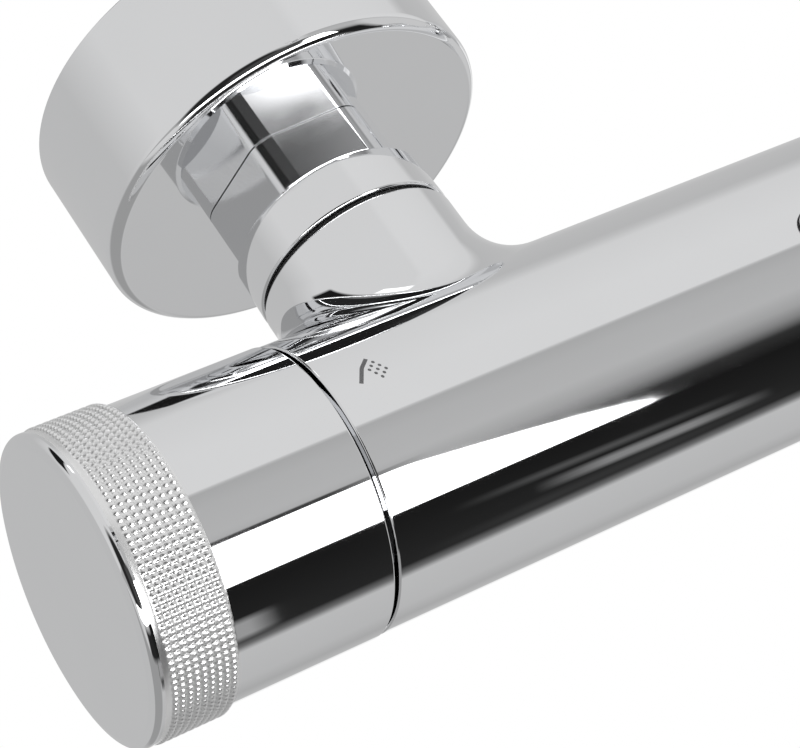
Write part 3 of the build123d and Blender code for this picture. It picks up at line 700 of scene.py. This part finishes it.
# ---------------------------------------------------------------- riser nut and return springs
def riser_collar():
    """Round nut that clamps the riser to the mixer's boss, with a shadow groove near its foot."""
    low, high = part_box("riser_nut")
    skin = Skin()
    r, bore_r, riser_hole_r = 13.8 * MM, 12.05 * MM, 11.05 * MM
    groove_r = r - 0.4 * MM
    foot, top = low.z, high.z
    shape = [(bore_r, foot), (r, foot), (r, foot + 2 * MM), (groove_r, foot + 2.1 * MM),
             (groove_r, foot + 2.6 * MM), (r, foot + 2.7 * MM), (r, top), (riser_hole_r, top),
             (riser_hole_r, top - 3 * MM)]
    rounding = [k * MM for k in (0.15, 0, 0, 0, 0, 1.0, 0.3)]
    turned(skin, place((0, BAR_Y, 0), (0, 0, 1)), outline(shape, rounding))
    collar = skin.piece("riser_collar", "column", "chromed_brass", CHROME, "riser_nut")
    collar.visible_glossy = False


def coil(name, node, body, along, wire, turns):
    """Return spring behind a button; the real one shortens as the button goes in, but this coil keeps one length.
    """
    low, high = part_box(node)
    direction = Vector(along)
    length = (high - low).dot(direction)
    radius = (high.y - low.y) / 2 - wire
    foot = (low + high) / 2 - direction * length / 2
    spot = place(foot, direction)
    spin = spot.to_3x3()
    skin = Skin()
    rows = []
    per_turn = 32
    steps = int(turns * per_turn)
    for i in range(steps + 1):
        a = 2 * pi * i / per_turn
        height = wire + (length - 2 * wire) * i / steps
        row = []
        for k in range(10):
            b = 2 * pi * k / 10
            out = Vector((cos(a) * cos(b), sin(a) * cos(b), sin(b)))
            middle = Vector((radius * cos(a), radius * sin(a), height))
            row.append((spot @ (middle + out * wire), spin @ out))
        rows.append(row)
    skin.grid(rows, closed=True)
    piece = skin.piece(name, body, "steel", STEEL, node)
    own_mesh(piece)


riser_collar()
coil("slider_coil", "slider_spring", "slider", (1, 0, 0), 0.35 * MM, 2.5)
coil("override_coil", "override_spring", "temperature_handle", (0, 0, 1), 0.25 * MM, 1.5)


# ---------------------------------------------------------------- hand shower body
HANDSET_LEAN = 20.0                           # degrees from upright
CUP_FROM_PIVOT = 29 * MM
HANDSET_HEAD_Z = 200 * MM                     # cup to the middle of the head, along the handle
SHOULDER_START = 143                          # height where the handle's front draws in, in millimetres
SHOULDER_LENGTH = 6


def handle_radius(z):
    """Radius of the hand shower's handle at a height above its cup, both in millimetres."""
    if z < -16:
        return 10.9
    if z < 16:
        return 10.9 + 1.3 * (z + 16) / 32
    if z < 110:
        return 12.2 + 1.1 * sin(pi / 2 * (z - 16) / 94)
    if z < 140:
        return 13.3 - 0.6 * (1 - cos(pi / 2 * (z - 110) / 30))
    return 12.7 * max(0.0, 1 - ((z - 140) / 42) ** 2) ** 0.5


def handset_shell():
    """Round handle that ends in a rounded shoulder under the face and runs out over the domed back."""
    tilt = next(j for j in frame["joints"] if j["name"] == "holder_tilt")
    cup = Vector(tilt["pos_m"]) - Vector((0, CUP_FROM_PIVOT, 0))
    spot = Matrix.Translation(cup) @ Matrix.Rotation(radians(HANDSET_LEAN), 4, "X")
    spin = spot.to_3x3()
    skin = Skin()

    def shape(z, a):
        radius = handle_radius(z)
        shoulder = min(1.0, max(0.0, (z - SHOULDER_START) / SHOULDER_LENGTH))
        front = min(radius, 8.9 + 4.4 * (1 - shoulder ** 2) ** 0.5)
        depth = front if sin(a) < 0 else radius
        return Vector((radius * cos(a), depth * sin(a), z)) * MM

    heights = [-33.2, -24.8, -16.2, -15.8] + [-15 + 3.1 * k for k in range(11)]
    heights += [20 + 4 * k for k in range(31)] + [142, 143, 144, 145, 146, 147, 147.7, 148.3, 148.7, 149]
    heights += [151 + 3 * k for k in range(8)] + [174.5, 177, 179, 180.5, 181.5]
    rows = []
    for z in heights:
        row = []
        for k in range(96):
            a = 2 * pi * k / 96
            across = shape(z, a + 0.01) - shape(z, a - 0.01)
            along = shape(z + 0.02, a) - shape(z - 0.02, a)
            row.append((spot @ shape(z, a), spin @ across.cross(along).normalized()))
        rows.append(row)
    skin.grid(rows, closed=True)
    foot = [(7.0 * MM, -30 * MM), (7.0 * MM, -34 * MM), (10.9 * MM, -34 * MM), (10.9 * MM, -33.2 * MM)]
    turned(skin, spot, outline(foot, [0.2 * MM, 0.7 * MM]), 96)
    back = [(47.8, -7.2), (47.8, -9.0), (50, -9.0), (50, -4.0), (48, 0.5), (40, 5.2), (24, 8.2), (0, 9.0)]
    back = [(r * MM, h * MM) for r, h in back]
    head = spot @ Matrix.Translation((0, 0, HANDSET_HEAD_Z)) @ Matrix.Rotation(radians(-90), 4, "X")
    turned(skin, head, outline(back, [k * MM for k in (0.2, 0.8, 8, 8, 18, 90)]))
    skin.piece("handset_shell", "handset", "chromed_plastic", PLATED, "handset_body")


handset_shell()


# ---------------------------------------------------------------- stage, light and camera
def floor():
    """Plain white floor, 0.95 m below the bar's axis."""
    mesh = bpy.data.meshes.new("floor")
    reach, level = 12.0, -0.95
    corners = [(-reach, -reach, level), (reach, -reach, level), (reach, reach, level), (-reach, reach, level)]
    mesh.from_pydata(corners, [], [(0, 1, 2, 3)])
    material = bpy.data.materials.new("floor")
    material.use_nodes = True
    tree = material.node_tree
    tree.nodes.remove(tree.nodes["Principled BSDF"])
    glow = tree.nodes.new("ShaderNodeEmission")
    glow.inputs["Color"].default_value = (1, 1, 1, 1)
    glow.inputs["Strength"].default_value = 1.0
    tree.links.new(glow.outputs["Emission"], tree.nodes["Material Output"].inputs["Surface"])
    mesh.materials.append(material)
    obj = bpy.data.objects.new("floor", mesh)
    bpy.context.scene.collection.objects.link(obj)
    obj.visible_glossy = False
    obj.visible_diffuse = False


# Brightness of the studio round the bar's axis: (degrees, level). 0 is straight out from the wall into
# the room, 90 is up, 180 is the wall and -90 is down. A dark flag hangs in front, a soft box above it.
STUDIO = [
    (-180, 0.50), (-150, 0.52), (-125, 0.60), (-108, 0.85), (-101, 0.95), (-97, 0.50), (-78, 0.42),
    (-60, 0.50), (-28, 0.53), (-23, 0.16), (-17, 0.02), (24, 0.01), (36, 0.03), (44, 0.24), (52, 0.38),
    (64, 0.48), (84, 0.46), (95, 0.42), (97, 0.71), (125, 0.71), (165, 0.67), (174, 0.55), (180, 0.50),
]
BOX_LEVEL = 6.0
TO_CAMERA = (-0.431, -0.428, 0.794)           # direction from the mixer back to the camera


def studio():
    """World light: a smooth studio of soft boxes and flags, seen by gloss; plain white behind."""
    world = bpy.data.worlds.new("studio")
    bpy.context.scene.world = world
    world.use_nodes = True
    tree = world.node_tree
    back = tree.nodes["Background"]
    back.inputs["Color"].default_value = (1, 1, 1, 1)

    def math(operation, a, b=None):
        node = tree.nodes.new("ShaderNodeMath")
        node.operation = operation
        for socket, value in zip(node.inputs, (a, b)):
            if isinstance(value, (int, float)):
                socket.default_value = value
            elif value is not None:
                tree.links.new(value, socket)
        return node.outputs["Value"]

    def step(value, low, high):
        """0 below low and 1 above high."""
        node = tree.nodes.new("ShaderNodeMapRange")
        tree.links.new(value, node.inputs["Value"])
        node.inputs["From Min"].default_value = low
        node.inputs["From Max"].default_value = high
        return node.outputs["Result"]

    coords = tree.nodes.new("ShaderNodeTexCoord")
    split = tree.nodes.new("ShaderNodeSeparateXYZ")
    tree.links.new(coords.outputs["Generated"], split.inputs["Vector"])
    x, y, z = split.outputs
    turn = math("ARCTAN2", z, math("MULTIPLY", y, -1.0))
    degrees_round = math("MULTIPLY", turn, 180 / pi)
    levels = tree.nodes.new("ShaderNodeFloatCurve")
    curve = levels.mapping.curves[0]
    for k, (angle, level) in enumerate(STUDIO):
        spot = ((angle + 180) / 360, level)
        if k < 2:
            curve.points[k].location = spot
        else:
            curve.points.new(*spot)
    for point in curve.points:
        point.handle_type = "VECTOR"
    levels.mapping.update()
    tree.links.new(math("DIVIDE", math("ADD", degrees_round, 180.0), 360.0), levels.inputs["Value"])

    def both(a, b):
        """Where two shapes overlap."""
        return math("MULTIPLY", a, b)

    def band(value, low, high, soft):
        """1 between low and high, fading to 0 inside each end."""
        return both(step(value, low, low + soft), step(value, high, high - soft))

    def around(low, high, soft):
        """Band of degrees round the bar's axis."""
        return band(degrees_round, low, high, soft)

    def fade(value, shape, target):
        """Moves a value towards a target level inside a shape."""
        kept = math("MULTIPLY", value, math("SUBTRACT", 1.0, shape))
        return math("ADD", kept, math("MULTIPLY", shape, target))

    # bright soft box in front and above, cut off on a slant towards the right, with a dark border
    rise = math("POWER", step(degrees_round, 27.0, 57.0), 1.5)
    slant = math("SUBTRACT", math("SUBTRACT", 0.509, math("MULTIPLY", rise, 0.094)), x)
    box = both(around(25.5, 57.0, 1.2), step(slant, -0.004, 0.004))
    box = both(box, step(x, 0.24, 0.30))
    box = math("MAXIMUM", box, both(around(25.5, 38.0, 1.2), band(x, -0.74, 0.29, 0.05)))
    border = both(around(55.5, 60.0, 1.0), band(x, 0.30, 0.43, 0.04))

    # the left side is an even light grey, lighter above, with the dark flag running on
    even = math("ADD", 0.52, math("MULTIPLY", step(z, -0.3, 0.2), 0.15))
    even = fade(even, both(around(-20.0, 27.0, 8.0), step(x, -0.60, -0.45)), 0.02)
    room = step(y, 0.1, -0.1)
    even = fade(even, both(both(step(x, 0.20, 0.10), step(z, 0.05, -0.05)), room), 0.33)
    even = fade(even, both(around(38.0, 72.0, 5.0), step(x, 0.32, 0.26)), 0.40)
    level = fade(levels.outputs["Value"], step(x, 0.30, 0.20), even)
    level = fade(level, border, 0.05)

    # lighter streaks and patches within the dark flag
    streak = math("ADD", degrees_round, math("MULTIPLY", math("SUBTRACT", x, 0.49), 60.0))
    level = fade(level, both(band(streak, -9.0, 2.0, 4.0), band(x, 0.46, 0.55, 0.03)), 0.24)
    level = fade(level, both(band(streak, 3.0, 11.0, 3.5), band(x, 0.43, 0.54, 0.04)), 0.08)
    level = fade(level, both(around(-20.0, -8.0, 5.0), band(x, 0.41, 0.56, 0.05)), 0.035)
    level = fade(level, both(around(-19.0, 1.0, 5.0), band(x, 0.20, 0.355, 0.012)), 0.33)

    # dark patch round the camera, 50 to 70 degrees across, and a dark strip left of the soft box
    part_x, part_y, part_z = (math("MULTIPLY", axis, share) for axis, share in zip((x, y, z), TO_CAMERA))
    toward = math("ADD", math("ADD", part_x, part_y), part_z)
    level = fade(level, step(toward, 0.82, 0.90), 0.02)
    level = fade(level, both(around(38.0, 70.0, 5.0), band(x, -0.45, 0.31, 0.06)), 0.06)

    # dark corner and a lamp just above level by the wall, and an even pale grey far to the right
    level = fade(level, both(around(152.0, 176.0, 3.0), band(x, -0.60, 0.08, 0.06)), 0.01)
    level = fade(level, both(around(142.0, 151.5, 1.5), band(x, 0.00, 0.27, 0.03)), 1.6)
    level = fade(level, both(step(x, 0.66, 0.74), room), 0.60)
    level = math("MAXIMUM", level, math("MULTIPLY", box, BOX_LEVEL))
    seen = tree.nodes.new("ShaderNodeLightPath")
    level = fade(level, seen.outputs["Is Camera Ray"], 1.0)
    tree.links.new(level, back.inputs["Strength"])


def camera():
    """Looks down on the left end of the mixer from in front and to the left."""
    place_mm = Vector((-239.48, -221.83, 293.03))
    heading, dip, roll = 45.183, 52.562, 16.534
    ahead = Vector((sin(radians(heading)), cos(radians(heading)), 0))
    forward = ahead * cos(radians(dip)) - Vector((0, 0, sin(radians(dip))))
    level = forward.cross(Vector((0, 0, 1))).normalized()
    up = level.cross(forward)
    right = level * cos(radians(roll)) + up * sin(radians(roll))
    up = right.cross(forward)
    data = bpy.data.cameras.new("camera")
    data.lens = 110.2
    data.sensor_width = 36
    data.clip_start = 0.01
    obj = bpy.data.objects.new("camera", data)
    bpy.context.scene.collection.objects.link(obj)
    turn = Matrix((right, up, -forward)).transposed().to_4x4()
    obj.matrix_world = Matrix.Translation(place_mm * MM) @ turn
    bpy.context.scene.camera = obj


# ---------------------------------------------------------------- scene
# Other chrome mirrors the plain studio, and not these pieces.
UNMIRRORED = (
    "lower_riser", "riser_coupling", "upper_riser", "arm_tube", "arm_socket", "riser_top_fitting",
    "head_shell", "head_plate", "nozzle_mat", "ball_nut", "bracket_body", "bracket_rosette", "riser_nut",
    "wall_union_left", "wall_union_right", "check_valves", "inlet_filters",
)
for node in UNMIRRORED:
    frame["nodes"][node].visible_glossy = False

floor()
studio()
camera()
bpy.context.scene.view_settings.view_transform = "Standard"
